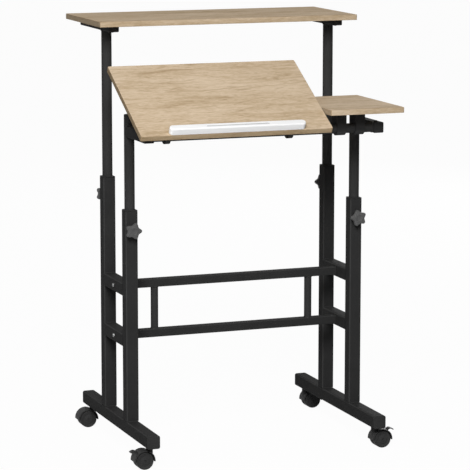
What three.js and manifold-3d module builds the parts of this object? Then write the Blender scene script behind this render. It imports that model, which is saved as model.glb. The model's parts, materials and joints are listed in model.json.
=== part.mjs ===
// Sit-stand desk on four casters. A frame of square tubes carries a rear shelf and a front desk, each on
// two round uprights that slide in the legs. The desk is a board that tilts on a round bar, beside a level tray.
// Millimetres, +Z up, the front towards -Y, the origin under the middle of the whole desk.
import * as THREE from "three";
import { mergeVertices } from "three/addons/utils/BufferGeometryUtils.js";
import Module from "manifold-3d";

const wasm = await Module();
wasm.setup();

// Clearances
const gap = 0.3; // between pieces that seat on, slide in or turn in each other
const overrun = 2; // how far a cut runs past the face that it opens

// Square tube of the frame
const tube = 38;
const tubeWall = 1.5;
const tubeCorner = 5;

// Frame
const frameWidth = 735; // over the legs' outer faces
const footLength = 620;
const legSpacing = 207; // front leg to rear leg, centre to centre
const rearLegHeight = 688.5; // from the foot's top to the top of the collar
const frontLegHeight = 618.5;
const lowRailRise = 234.5; // from the foot's top to the lower rail's middle
const railSpacing = 149;
const capHead = 3;
const capPlug = 12;
const capRound = 1;

// Cross bars and the struts between them
const bar = 25;
const barWall = 1.5;
const barCorner = 3;
const barEnd = 4; // end wall that takes the bolt's thread
const barForward = 7; // in front of the side rails' middle
const boltRadius = 3;
const strutRadius = 11;
const strutWall = 1.5;
const strutInset = 125; // from the legs' outer faces to the strut's middle

// Uprights, and what guides and clamps them
const uprightRadius = 15;
const uprightWall = 1.5;
const rearUprightLength = 700;
const frontUprightLength = 540;
const collarHead = 3;
const collarPlug = 110; // sleeve inside the leg
const collarRound = 1;
const bossRadius = 9; // welded nut on the leg's face
const bossHeight = 3.5;

// Star knobs
const knobDrop = 57.5; // from the leg's top to the knob's axis
const knobTipRadius = 24;
const knobValleyRadius = 18;
const knobHead = 12;
const knobRound = 2.5;
const knobHubLength = 9;
const knobHubRadius = 11;
const knobNeckRadius = 8.5;
const knobDishRadius = 9;
const knobDishDepth = 1.5;
const studRadius = 4;
const knobTurns = { front_left: -18, front_right: 14, rear_left: -18, rear_right: 18 }; // degrees

// Shelf
const shelfHeight = 1250; // floor to the shelf's top
const shelfOverhang = 32.5; // past the legs' outer faces
const shelfDepth = 341;
const shelfGap = 3; // from the boards' rear edge to the shelf's front edge
const bracketWidth = 30;
const bracketHeight = 17;
const bracketLength = 280;
const bracketWall = 2;
const bracketCorner = 3;
const screwRadius = 2.2;
const screwInset = 16; // from a bracket's end to its screw

// Boards
const boardThickness = 16;
const boardCorner = 4;
const boardRound = 1;
const deskHeight = 1011; // floor to the tray's top
const trayWidth = 227;
const boardDepth = 343;
const boardGap = 2; // between the board and the tray
const frontOverhang = 83; // from the pivot bar's axis to the boards' front edge
const pivotDrop = 48; // from the boards' underside to the pivot bar's axis
const restTilt = 29; // degrees, front edge down

// Arms and pivot bar
const pivotReach = 159.5; // from the front upright's axis to the pivot bar's axis
const arm = 31;
const armWall = 2;
const armCorner = 3;
const armNose = 17; // past the pivot bar's axis
const armBoltSetback = 5; // behind the pivot bar's axis
const copeSetback = 5; // from the upright's axis to the arm's coped end
const pivotRadius = 14;
const pivotWall = 2;
const uprightCapRise = 2; // domed head over the upright's top
const uprightCapPlug = 12;
const uprightCapClear = 0.5; // under the flat board

// Tray brackets
const postWidth = 28;
const postWall = 5; // round the pivot bar
const postReach = 4.5; // behind the ring
const postInset = 60.5; // from the tray's inner edge to the first post's middle
const postSpacing = 57.5;
const postFlangeLength = 32;
const flangeThickness = 3;
const flangeFillet = 6;

// Hinge clamps of the board
const clampWidth = 15;
const clampWall = 7;
const clampFlange = 74;
const clampInset = 108; // from the board's outer edge to the first clamp's middle
const clampInnerInset = 94; // from the board's inner edge to the second clamp's middle
const clampScrewInset = 7;

// Edge stop
const stopInset = 83.5; // from the board's side edges
const stopDepth = 22.5;
const stopHeight = 20;
const stopRound = 3; // of its top edge
const slotInset = 108; // from the stop's ends
const slotWidth = 6;
const slotDepth = 2;

// Casters
const casterHeight = 63.5; // floor to the foot's underside
const casterInset = 40; // from the foot's end to the stem
const trail = 19; // from the stem's axis to the axle
const wheelRadius = 25.4;
const wheelWidth = 17.5;
const treadCrown = 1;
const treadShoulder = 3;
const rimRadius = 21;
const rimRound = 1;
const dishDepth = 1;
const wheelHubRadius = 7.5;
const axleRadius = 3;
const axleRecess = 1; // the axle's end under the wheel hub's face
const webThickness = 6;
const wheelGap = 0.5;
const hoodRadius = 31;
const hoodWall = 3.2;
const hoodWidth = 44;
const hoodRound = 2;
const hoodSkirt = 2; // below the axle
const hoodHubRadius = 7;
const stemRadius = 5.5;
const stemLength = 26; // inside the foot
const sleeveWall = 3;
const sleeveMargin = 1; // above the stem's end
const swivelRadius = 10;
const swivelGap = 1.5; // between the hood's boss and the foot

// Brake levers
const leverWidth = 18;
const leverThickness = 3;
const leverReach = 20; // from the pin to the middle of the tip
const leverArch = 11.5; // height of the curve's control point over the pin
const leverArchShare = 0.45; // its place along the reach
const leverTipRise = 1.5;
const leverHubRadius = 2.8;
const leverPinRadius = 1.2;
const leverSwing = 1.6; // room in the slot on each side of the lever
const pinEmbed = 1.5;
const leverAngle = 50; // degrees, the pin's place round the axle

// Heights and places that follow
const footTop = casterHeight + tube;
const trackX = (frameWidth - tube) / 2;
const strutX = frameWidth / 2 - strutInset;
const shelfWidth = frameWidth + 2 * shelfOverhang;
const boardWidth = shelfWidth - trayWidth - boardGap;
const rearY = legSpacing / 2;
const frontY = -legSpacing / 2;
const pivotY = frontY - pivotReach;
const pivotZ = deskHeight - boardThickness - pivotDrop;
const boardLeft = -shelfWidth / 2;
const boardRearY = pivotY - frontOverhang + boardDepth;
const shelfY = boardRearY + shelfGap + shelfDepth / 2;
const bracketZ = shelfHeight - boardThickness - gap - bracketHeight / 2;
const tubeBore = tube - 2 * tubeWall;
const plugSide = tubeBore - 2 * gap;
const plugCorner = Math.max(tubeCorner - tubeWall - gap, gap);
const sides = [["left", -1], ["right", 1]];
const ends = [["front", -1], ["rear", 1]];

// Numbers of facets
const cornerFacets = 1;
const ringFacets = 8;
const webFacets = 6;
const roundFacets = 24;
const smallFacets = 12;
const drillFacets = 8;
const wheelFacets = 18;
const hoodFacets = 24;
const lobes = 5;
const lobeFacets = 6;
const bevelFacets = 1;
const leverFacets = 6;

const right = Math.PI / 2;
const sideways = new THREE.Matrix4().makeBasis(
  new THREE.Vector3(0, 1, 0), new THREE.Vector3(0, 0, 1), new THREE.Vector3(1, 0, 0));

// Colours and finishes
const coat = new THREE.MeshStandardMaterial({ color: 0x2b2b2d, roughness: 0.45, metalness: 0.3 });
const blackPlastic = new THREE.MeshStandardMaterial({ color: 0x161617, roughness: 0.55, metalness: 0 });
const whitePlastic = new THREE.MeshStandardMaterial({ color: 0xf4f4f2, roughness: 0.4, metalness: 0 });
const oak = new THREE.MeshStandardMaterial({ color: 0xe6c9a0, roughness: 0.5, metalness: 0 });
const tyre = new THREE.MeshStandardMaterial({ color: 0x222223, roughness: 0.7, metalness: 0 });

// Solids: joins, cuts and the basic sections

function toSolid(geometry) {
  const bare = geometry.clone();
  bare.deleteAttribute("normal");
  bare.deleteAttribute("uv");
  const merged = mergeVertices(bare);
  return new wasm.Manifold(new wasm.Mesh({
    numProp: 3,
    vertProperties: merged.getAttribute("position").array,
    triVerts: new Uint32Array(merged.index.array),
  }));
}

function toGeometry(solid) {
  const mesh = solid.getMesh();
  const geometry = new THREE.BufferGeometry();
  geometry.setAttribute("position", new THREE.BufferAttribute(mesh.vertProperties, 3));
  geometry.setIndex(new THREE.BufferAttribute(mesh.triVerts, 1));
  geometry.computeVertexNormals();
  return geometry;
}

function join(base, ...others) {
  return toGeometry(others.reduce((solid, other) => solid.add(toSolid(other)), toSolid(base)));
}

function cut(base, ...tools) {
  return toGeometry(tools.reduce((solid, tool) => solid.subtract(toSolid(tool)), toSolid(base)));
}

// Rectangle with round corners.
function roundedRect(width, height, radius) {
  const x = width / 2 - radius;
  const y = height / 2 - radius;
  const shape = new THREE.Shape();
  shape.absarc(x, y, radius, 0, right);
  shape.absarc(-x, y, radius, right, 2 * right);
  shape.absarc(-x, -y, radius, 2 * right, 3 * right);
  shape.absarc(x, -y, radius, 3 * right, 4 * right);
  return shape;
}

// Outline extruded along Z, centred on its length.
function prism(shape, length, facets = cornerFacets) {
  const options = { depth: length, bevelEnabled: false, curveSegments: facets };
  return new THREE.ExtrudeGeometry(shape, options).translate(0, 0, -length / 2);
}

// Square tube along Z, open at both ends.
function squareTube(side, wall, corner, length) {
  const shape = roundedRect(side, side, corner);
  shape.holes.push(roundedRect(side - 2 * wall, side - 2 * wall, corner - wall));
  return prism(shape, length);
}

// Flat slab with round corners and rounded edges, thick along Z.
function slab(width, depth, corner, thickness, round) {
  const shape = roundedRect(width - 2 * round, depth - 2 * round, corner - round);
  const options = {
    depth: thickness - 2 * round,
    bevelThickness: round,
    bevelSize: round,
    bevelSegments: bevelFacets,
    curveSegments: cornerFacets,
  };
  return new THREE.ExtrudeGeometry(shape, options).translate(0, 0, round - thickness / 2);
}

// Body of revolution about Z; the profile is [radius, height] pairs, going up on the outside.
function turned(profile, facets = roundFacets) {
  const points = profile.map(([radius, height]) => new THREE.Vector2(radius, height));
  return new THREE.LatheGeometry(points, facets).rotateX(right);
}

// Round rod along Z, from low to high.
function rod(radius, low, high, facets = roundFacets) {
  return turned([[0, low], [radius, low], [radius, high], [0, high]], facets);
}

// Cutting rods for studs and bolts, and for screws.
const bolt = (radius, low, high) => rod(radius, low, high, smallFacets);
const screw = (low, high) => rod(screwRadius, low, high, drillFacets);

// Round tube along Z, centred on its length.
function roundTube(radius, wall, length) {
  const inner = radius - wall;
  const half = length / 2;
  return turned([[inner, -half], [radius, -half], [radius, half], [inner, half], [inner, -half]]);
}

const alongX = (geometry) => geometry.rotateY(right);
const alongY = (geometry) => geometry.rotateX(-right);
const standing = (geometry) => geometry.rotateX(right); // an outline drawn in X and Y stands up in X and Z

function add(group, name, geometry, material, x = 0, y = 0, z = 0) {
  const mesh = new THREE.Mesh(geometry, material);
  mesh.name = name;
  mesh.position.set(x, y, z);
  group.add(mesh);
  return mesh;
}

// The frame: feet, legs, collars, rails, cross bars and struts

// Foot bar along Y, with a sleeve in it over each caster hole.
function foot() {
  const length = footLength - 2 * (capHead + gap);
  const stemY = footLength / 2 - casterInset;
  const low = -tube / 2;
  const sleeveTop = low + stemLength + sleeveMargin;
  const bore = stemRadius + gap;
  const sleeves = ends.map(([, way]) =>
    bolt(bore + sleeveWall, low + tubeWall / 2, sleeveTop).translate(0, way * stemY, 0));
  const bores = ends.map(([, way]) =>
    bolt(bore, low - overrun, sleeveTop + overrun).translate(0, way * stemY, 0));
  const body = join(alongY(squareTube(tube, tubeWall, tubeCorner, length)), ...sleeves);
  return cut(body, ...bores);
}

// Plug in the foot's end, its head towards +Z.
function footCap() {
  const head = slab(tube, tube, tubeCorner, capHead, capRound).translate(0, 0, capHead / 2);
  const plug = prism(roundedRect(plugSide, plugSide, plugCorner), capPlug + capHead / 2);
  return join(head, plug.translate(0, 0, (capHead / 2 - capPlug) / 2));
}

// Leg standing on Z 0, with a welded nut for the knob on its -Y face.
function leg(height) {
  const length = height - 2 * gap - collarHead;
  const knobZ = height - gap - knobDrop;
  const face = tube / 2;
  const nut = alongY(bolt(bossRadius, face - tubeWall / 2, face + bossHeight)).rotateZ(2 * right);
  const hole = alongY(bolt(studRadius + gap, face - tubeWall - overrun, face + bossHeight + overrun));
  const body = squareTube(tube, tubeWall, tubeCorner, length).translate(0, 0, length / 2);
  return cut(join(body, nut.translate(0, 0, knobZ)), hole.rotateZ(2 * right).translate(0, 0, knobZ));
}

// Collar on the leg's top: a sleeve in the leg that guides the upright, with a hole for the knob's stud
// on its -Y side. The head stands on Z 0.
function collar() {
  const head = slab(tube, tube, tubeCorner, collarHead, collarRound).translate(0, 0, collarHead / 2);
  const plug = prism(roundedRect(plugSide, plugSide, plugCorner), collarPlug + collarHead / 2);
  const body = join(head, plug.translate(0, 0, (collarHead / 2 - collarPlug) / 2));
  const hole = alongY(bolt(studRadius + gap, 0, tube)).rotateZ(2 * right);
  return cut(
    body,
    rod(uprightRadius + gap, -collarPlug - overrun, collarHead + overrun),
    hole.translate(0, 0, collarHead - knobDrop));
}

// Side rail along Y, drilled across for the cross bar's bolt.
function sideRail() {
  const length = legSpacing - tube - 2 * gap;
  const drill = alongX(bolt(boltRadius + gap, -tube, tube));
  return cut(alongY(squareTube(tube, tubeWall, tubeCorner, length)), drill.translate(0, -barForward, 0));
}

// Cross bar along X, with tapped end walls.
function crossBar() {
  const length = frameWidth - 2 * tube - 2 * gap;
  const inner = bar - 2 * barWall;
  const hollow = prism(roundedRect(inner, inner, barCorner - barWall), length - 2 * barEnd);
  const tap = bolt(boltRadius, -length, length);
  return alongX(cut(prism(roundedRect(bar, bar, barCorner), length), hollow, tap));
}

function strut() {
  return roundTube(strutRadius, strutWall, railSpacing - bar - 2 * gap);
}

function buildFrame() {
  const group = new THREE.Group();
  const footZ = casterHeight + tube / 2;
  for (const [side, sign] of sides) {
    add(group, `foot_${side}`, foot(), coat, sign * trackX, 0, footZ);
    for (const [end, way] of ends) {
      const cap = add(group, `foot_cap_${end}_${side}`, footCap(), blackPlastic);
      cap.position.set(sign * trackX, way * (footLength / 2 - capHead), footZ);
      cap.rotation.x = -way * right;
      const height = way < 0 ? frontLegHeight : rearLegHeight;
      const legY = way < 0 ? frontY : rearY;
      const post = add(group, `leg_${end}_${side}`, leg(height), coat, sign * trackX, legY, footTop + gap);
      post.rotation.z = way < 0 ? 0 : 2 * right;
      const collarZ = footTop + height - collarHead;
      const guide = add(group, `collar_${end}_${side}`, collar(), blackPlastic, sign * trackX, legY, collarZ);
      guide.rotation.z = post.rotation.z;
    }
    for (const [level, rise] of [["lower", lowRailRise], ["upper", lowRailRise + railSpacing]])
      add(group, `side_rail_${level}_${side}`, sideRail(), coat, sign * trackX, 0, footTop + rise);
    const strutZ = footTop + lowRailRise + railSpacing / 2;
    add(group, `strut_${side}`, strut(), coat, sign * strutX, -barForward, strutZ);
  }
  add(group, "cross_bar_lower", crossBar(), coat, 0, -barForward, footTop + lowRailRise);
  add(group, "cross_bar_upper", crossBar(), coat, 0, -barForward, footTop + lowRailRise + railSpacing);
  return group;
}

// Uprights and star knobs

// Upright hanging down from Z 0.
function upright(length) {
  return roundTube(uprightRadius, uprightWall, length).translate(0, 0, -length / 2);
}

// Outline of the knob's head: lobes round a circle.
function lobedOutline(inset) {
  const middle = (knobTipRadius + knobValleyRadius) / 2 - inset;
  const swell = (knobTipRadius - knobValleyRadius) / 2;
  const points = [];
  for (let i = 0; i < lobes * lobeFacets; i += 1) {
    const turn = (4 * right * i) / (lobes * lobeFacets);
    const radius = middle + swell * Math.cos(lobes * turn);
    points.push(new THREE.Vector2(radius * Math.sin(turn), radius * Math.cos(turn)));
  }
  return new THREE.Shape(points);
}

// Star knob on a stud, along +Z; Z 0 is the leg's face.
function starKnob() {
  const base = bossHeight + gap;
  const headLow = base + knobHubLength;
  const options = {
    depth: knobHead - 2 * knobRound,
    bevelThickness: knobRound,
    bevelSize: knobRound,
    bevelSegments: bevelFacets,
  };
  const head = new THREE.ExtrudeGeometry(lobedOutline(knobRound), options)
    .translate(0, 0, headLow + knobRound);
  const tip = uprightRadius + gap - tube / 2;
  const hub = turned([
    [0, tip],
    [studRadius, tip],
    [studRadius, base],
    [knobNeckRadius, base],
    [knobHubRadius, headLow],
    [knobHubRadius, headLow + knobHead / 2],
    [0, headLow + knobHead / 2],
  ], smallFacets);
  const dish = bolt(knobDishRadius, headLow + knobHead - knobDishDepth, headLow + knobHead + overrun);
  return cut(join(head, hub), dish);
}

function addKnobs(group) {
  for (const [end, way] of ends) {
    const top = footTop + (way < 0 ? frontLegHeight : rearLegHeight);
    for (const [side, sign] of sides) {
      const y = way * (legSpacing / 2 + tube / 2);
      const knob = add(group, `knob_${end}_${side}`, starKnob(), blackPlastic, sign * trackX, y, top - knobDrop);
      knob.rotation.set(-way * right, 0, THREE.MathUtils.degToRad(knobTurns[`${end}_${side}`]));
    }
  }
}

// The shelf on its brackets

// Flat closed tube along Y under the shelf, with a screw hole near each end.
function shelfBracket() {
  const inner = [bracketWidth - 2 * bracketWall, bracketHeight - 2 * bracketWall];
  const hollow = prism(roundedRect(...inner, bracketCorner - bracketWall), bracketLength - 2 * bracketWall);
  const body = prism(roundedRect(bracketWidth, bracketHeight, bracketCorner), bracketLength);
  const drills = ends.map(([, way]) =>
    screw(-bracketHeight, bracketHeight).translate(0, way * (bracketLength / 2 - screwInset), 0));
  return cut(alongY(cut(body, hollow)), ...drills);
}

function buildShelf() {
  const group = new THREE.Group();
  for (const [side, sign] of sides) {
    const top = bracketZ - bracketHeight / 2 - gap;
    add(group, `upright_rear_${side}`, upright(rearUprightLength), coat, sign * trackX, rearY, top);
    add(group, `shelf_bracket_${side}`, shelfBracket(), coat, sign * trackX, shelfY, bracketZ);
  }
  const panel = slab(shelfWidth, shelfDepth, boardCorner, boardThickness, boardRound);
  add(group, "shelf", panel, oak, 0, shelfY, shelfHeight - boardThickness / 2);
  return group;
}

// The desk: arms, pivot bar and tray

// Arm along Y from the pivot bar (Y 0) back to the upright, its rear end coped round the upright.
function forwardArm() {
  const rear = pivotReach - copeSetback;
  const body = alongY(prism(roundedRect(arm, arm, armCorner), armNose + rear));
  const side = arm - 2 * armWall;
  const hollow = alongY(prism(roundedRect(side, side, armCorner - armWall), armNose + rear));
  const cope = rod(uprightRadius + gap, -arm, arm).translate(0, pivotReach, 0);
  const drill = bolt(boltRadius, arm / 2 - armWall - overrun, arm / 2 + overrun);
  return cut(
    body.translate(0, (rear - armNose) / 2, 0),
    hollow.translate(0, (rear - armNose) / 2 + armWall, 0),
    cope,
    drill.translate(0, armBoltSetback, 0));
}

// Domed plug in the front upright's open top; Z 0 is the tube's end.
function uprightCap() {
  const plug = uprightRadius - uprightWall - gap;
  return turned([
    [0, -uprightCapPlug],
    [plug, -uprightCapPlug],
    [plug, gap],
    [uprightRadius, gap],
    [plug, uprightCapRise],
    [0, uprightCapRise],
  ]);
}

// Tray bracket: a ring round the pivot bar, a post up to the tray and a flange behind it.
function trayBracket() {
  const ring = pivotRadius + gap + postWall;
  const back = ring + postReach;
  const top = pivotDrop - gap;
  const low = top - flangeThickness;
  const rear = back + postFlangeLength;
  const turn = -Math.acos(ring / back); // where the line from the post's rear edge touches the ring
  const shape = new THREE.Shape();
  shape.moveTo(-ring, 0);
  shape.lineTo(-ring, top);
  shape.lineTo(rear, top);
  shape.lineTo(rear, low);
  shape.lineTo(back + flangeFillet, low);
  shape.quadraticCurveTo(back, low, back, low - flangeFillet);
  shape.lineTo(back, 0);
  shape.absarc(0, 0, ring, turn, -2 * right, true);
  shape.holes.push(new THREE.Path().absarc(0, 0, pivotRadius + gap, 0, 4 * right));
  const drill = screw(low - overrun, top + overrun);
  const screwY = rear - postFlangeLength / 3;
  return cut(prism(shape, postWidth, ringFacets).applyMatrix4(sideways), drill.translate(0, screwY, 0));
}

function buildDesk() {
  const group = new THREE.Group();
  const uprightTop = pivotZ + pivotDrop - uprightCapClear - uprightCapRise;
  for (const [side, sign] of sides) {
    add(group, `upright_front_${side}`, upright(frontUprightLength), coat, sign * trackX, frontY, uprightTop);
    add(group, `upright_cap_${side}`, uprightCap(), blackPlastic, sign * trackX, frontY, uprightTop);
    add(group, `arm_${side}`, forwardArm(), coat, sign * trackX, pivotY, pivotZ);
  }
  const pivotLength = frameWidth - tube - arm - 2 * gap;
  add(group, "pivot_bar", alongX(roundTube(pivotRadius, pivotWall, pivotLength)), coat, 0, pivotY, pivotZ);
  const trayLeft = boardLeft + boardWidth + boardGap;
  add(group, "tray_bracket_inner", trayBracket(), coat, trayLeft + postInset, pivotY, pivotZ);
  add(group, "tray_bracket_outer", trayBracket(), coat, trayLeft + postInset + postSpacing, pivotY, pivotZ);
  const tray = slab(trayWidth, boardDepth, boardCorner, boardThickness, boardRound);
  const trayY = boardRearY - boardDepth / 2;
  add(group, "tray", tray, oak, trayLeft + trayWidth / 2, trayY, deskHeight - boardThickness / 2);
  return group;
}

// The tilting board; its group's origin is on the pivot bar's axis

// Hinge clamp: a ring round the pivot bar that flares up to a flange under the board.
function hingeClamp() {
  const ring = pivotRadius + gap + clampWall;
  const top = pivotDrop - gap;
  const low = top - flangeThickness;
  const half = clampFlange / 2;
  const shape = new THREE.Shape();
  shape.moveTo(-ring, 0);
  shape.quadraticCurveTo(-ring, low, -half, low);
  shape.lineTo(-half, top);
  shape.lineTo(half, top);
  shape.lineTo(half, low);
  shape.quadraticCurveTo(ring, low, ring, 0);
  shape.absarc(0, 0, ring, 0, -2 * right, true);
  shape.holes.push(new THREE.Path().absarc(0, 0, pivotRadius + gap, 0, 4 * right));
  const drills = ends.map(([, way]) =>
    screw(low - overrun, top + overrun).translate(0, way * (half - clampScrewInset), 0));
  return cut(prism(shape, clampWidth, ringFacets).applyMatrix4(sideways), ...drills);
}

// Low bar with round ends along the board's front edge, flat below, with a shallow slot in its top.
function edgeStop() {
  const stopLength = boardWidth - 2 * stopInset;
  const slotLength = stopLength - 2 * slotInset;
  const body = slab(stopLength, stopDepth, stopDepth / 2, stopHeight + stopRound, stopRound);
  const base = new THREE.BoxGeometry(2 * stopLength, 2 * stopDepth, 2 * stopRound);
  const slot = prism(roundedRect(slotLength, slotWidth, slotWidth / 2 - gap), slotDepth + overrun);
  return cut(
    body.translate(0, 0, -stopRound / 2),
    base.translate(0, 0, -stopHeight / 2 - stopRound),
    slot.translate(0, 0, (stopHeight + overrun - slotDepth) / 2));
}

function buildTiltBoard() {
  const group = new THREE.Group();
  group.position.set(0, pivotY, pivotZ);
  group.rotation.x = THREE.MathUtils.degToRad(restTilt);
  const middleX = boardLeft + boardWidth / 2;
  const middleY = boardDepth / 2 - frontOverhang;
  const board = slab(boardWidth, boardDepth, boardCorner, boardThickness, boardRound);
  add(group, "tilt_board", board, oak, middleX, middleY, pivotDrop + boardThickness / 2);
  const stopY = stopDepth / 2 - frontOverhang;
  const stopZ = pivotDrop + boardThickness + gap + stopHeight / 2;
  add(group, "edge_stop", edgeStop(), whitePlastic, middleX, stopY, stopZ);
  add(group, "hinge_clamp_outer", hingeClamp(), coat, boardLeft + clampInset);
  add(group, "hinge_clamp_inner", hingeClamp(), coat, boardLeft + boardWidth - clampInnerInset);
  return group;
}

// The casters; each group's origin is under its stem, the axle lies trail away along +X

// Twin wheel, axis along Z from its inner face up, with a crowned tread and a dished outer face.
function casterWheel() {
  const bore = axleRadius + gap;
  const edge = wheelRadius - treadCrown;
  return turned([
    [bore, 0],
    [wheelRadius, 0],
    [wheelRadius, wheelWidth - treadShoulder],
    [edge, wheelWidth],
    [rimRadius + rimRound, wheelWidth],
    [rimRadius, wheelWidth - dishDepth],
    [wheelHubRadius, wheelWidth - dishDepth],
    [wheelHubRadius - rimRound, wheelWidth],
    [bore, wheelWidth],
    [bore, 0],
  ], wheelFacets);
}

// Drum along Z with rounded shoulders, centred on its width.
function drum(radius, width, round) {
  const half = width / 2;
  return turned([
    [0, -half],
    [radius - round, -half],
    [radius, round - half],
    [radius, half - round],
    [radius - round, half],
    [0, half],
  ], hoodFacets);
}

// Web between the wheels: a half disc up to the hood, and a round hub at the axle.
function hoodWeb(radius) {
  const shape = new THREE.Shape();
  shape.absarc(0, 0, radius, 0, 2 * right);
  return standing(prism(shape, webThickness, webFacets));
}

// Place of the brake lever's pin from the axle.
function leverPin() {
  const turn = THREE.MathUtils.degToRad(leverAngle);
  const reach = hoodRadius - hoodWall / 2;
  return [reach * Math.cos(turn), reach * Math.sin(turn)];
}

// Cuts in the hood for the brake lever: a seat for its hub, and a mouth that opens outwards.
function leverSlot() {
  const [x, z] = leverPin();
  const width = leverWidth + 2 * gap;
  const seat = alongY(bolt(leverHubRadius + leverSwing / 2, -width / 2, width / 2));
  const mouth = new THREE.BoxGeometry(leverReach, width, leverThickness + 2 * leverSwing);
  mouth.translate(leverReach / 2, 0, 0).rotateY(-THREE.MathUtils.degToRad(leverAngle));
  return [seat.translate(x, 0, z), mouth.translate(x, 0, z)];
}

// Hood over both wheels, with its web, swivel boss, stem and axle; the axle is at X 0, Z 0.
function casterHood(braked) {
  const inside = hoodRadius - hoodWall;
  const bossTop = casterHeight - swivelGap - wheelRadius;
  const stemTop = casterHeight + stemLength - wheelRadius;
  const boss = bolt(swivelRadius, 0, bossTop).translate(-trail, 0, 0);
  const skirt = new THREE.BoxGeometry(4 * hoodRadius, 2 * hoodWidth, 2 * hoodRadius);
  skirt.translate(0, 0, -hoodRadius - hoodSkirt);
  const shell = cut(
    join(alongY(drum(hoodRadius, hoodWidth, hoodRound)), boss),
    alongY(rod(inside, -hoodWidth, hoodWidth, hoodFacets)),
    skirt);
  const hub = alongY(bolt(hoodHubRadius, -webThickness / 2, webThickness / 2));
  const web = hoodWeb(hoodRadius - hoodWall / 2);
  const whole = braked ? cut(join(shell, web), ...leverSlot()) : join(shell, web);
  const axleHalf = webThickness / 2 + wheelGap + wheelWidth - axleRecess;
  const stem = bolt(stemRadius, bossTop - overrun, stemTop).translate(-trail, 0, 0);
  const solid = join(whole, hub, stem, alongY(bolt(axleRadius, -axleHalf, axleHalf)));
  if (!braked) return solid;
  const [x, z] = leverPin();
  const pinHalf = leverWidth / 2 + gap + pinEmbed;
  return join(solid, alongY(rod(leverPinRadius, -pinHalf, pinHalf, drillFacets)).translate(x, 0, z));
}

// Brake lever that arches along +X from its pin, bored for the pin.
function brakeLever() {
  const line = new THREE.QuadraticBezierCurve(
    new THREE.Vector2(0, 0),
    new THREE.Vector2(leverReach * leverArchShare, leverArch),
    new THREE.Vector2(leverReach, leverTipRise));
  const over = [];
  const under = [];
  for (let i = 0; i <= leverFacets; i += 1) {
    const point = line.getPoint(i / leverFacets);
    const along = line.getTangent(i / leverFacets);
    const half = new THREE.Vector2(-along.y, along.x).multiplyScalar(leverThickness / 2);
    over.push(point.clone().add(half));
    under.unshift(point.clone().sub(half));
  }
  const plate = standing(prism(new THREE.Shape([...over, ...under]), leverWidth));
  const hub = alongY(bolt(leverHubRadius, -leverWidth / 2, leverWidth / 2));
  return cut(join(plate, hub), alongY(rod(leverPinRadius + gap, -leverWidth, leverWidth, drillFacets)));
}

function addBrakeLever(caster, side) {
  const [x, z] = leverPin();
  add(caster, `brake_lever_${side}`, brakeLever(), blackPlastic, trail + x, 0, wheelRadius + z);
}

function buildCaster(end, side, braked) {
  const group = new THREE.Group();
  add(group, `caster_hood_${end}_${side}`, casterHood(braked), blackPlastic, trail, 0, wheelRadius);
  for (const [number, way] of [[1, -1], [2, 1]]) {
    const wheel = add(group, `wheel_${end}_${side}_${number}`, casterWheel(), tyre, trail, 0, wheelRadius);
    wheel.position.y = way * (webThickness / 2 + wheelGap);
    wheel.rotation.x = -way * right;
  }
  if (braked) addBrakeLever(group, side);
  return group;
}

function addCasters(group) {
  for (const [end, way] of ends)
    for (const [side, sign] of sides) {
      const caster = buildCaster(end, side, way < 0);
      caster.position.set(sign * trackX, way * (footLength / 2 - casterInset), 0);
      caster.rotation.z = sign < 0 ? 2 * right : 0;
      group.add(caster);
    }
}

// The whole desk, centred over the origin

const desk = new THREE.Group();
desk.add(buildFrame(), buildShelf(), buildDesk(), buildTiltBoard());
addKnobs(desk);
addCasters(desk);
const middle = new THREE.Box3().setFromObject(desk, true).getCenter(new THREE.Vector3());
desk.position.set(-middle.x, -middle.y, 0);

const root = new THREE.Group();
root.add(desk);

export default root;
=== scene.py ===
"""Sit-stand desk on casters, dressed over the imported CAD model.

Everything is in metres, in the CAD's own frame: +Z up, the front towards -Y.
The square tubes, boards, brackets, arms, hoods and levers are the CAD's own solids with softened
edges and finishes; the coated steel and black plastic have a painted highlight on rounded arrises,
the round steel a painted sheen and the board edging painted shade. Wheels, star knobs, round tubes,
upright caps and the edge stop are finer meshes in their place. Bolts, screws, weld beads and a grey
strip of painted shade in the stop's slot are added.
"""

import json
import math

import bmesh
import bpy
from mathutils import Matrix, Vector

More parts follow.
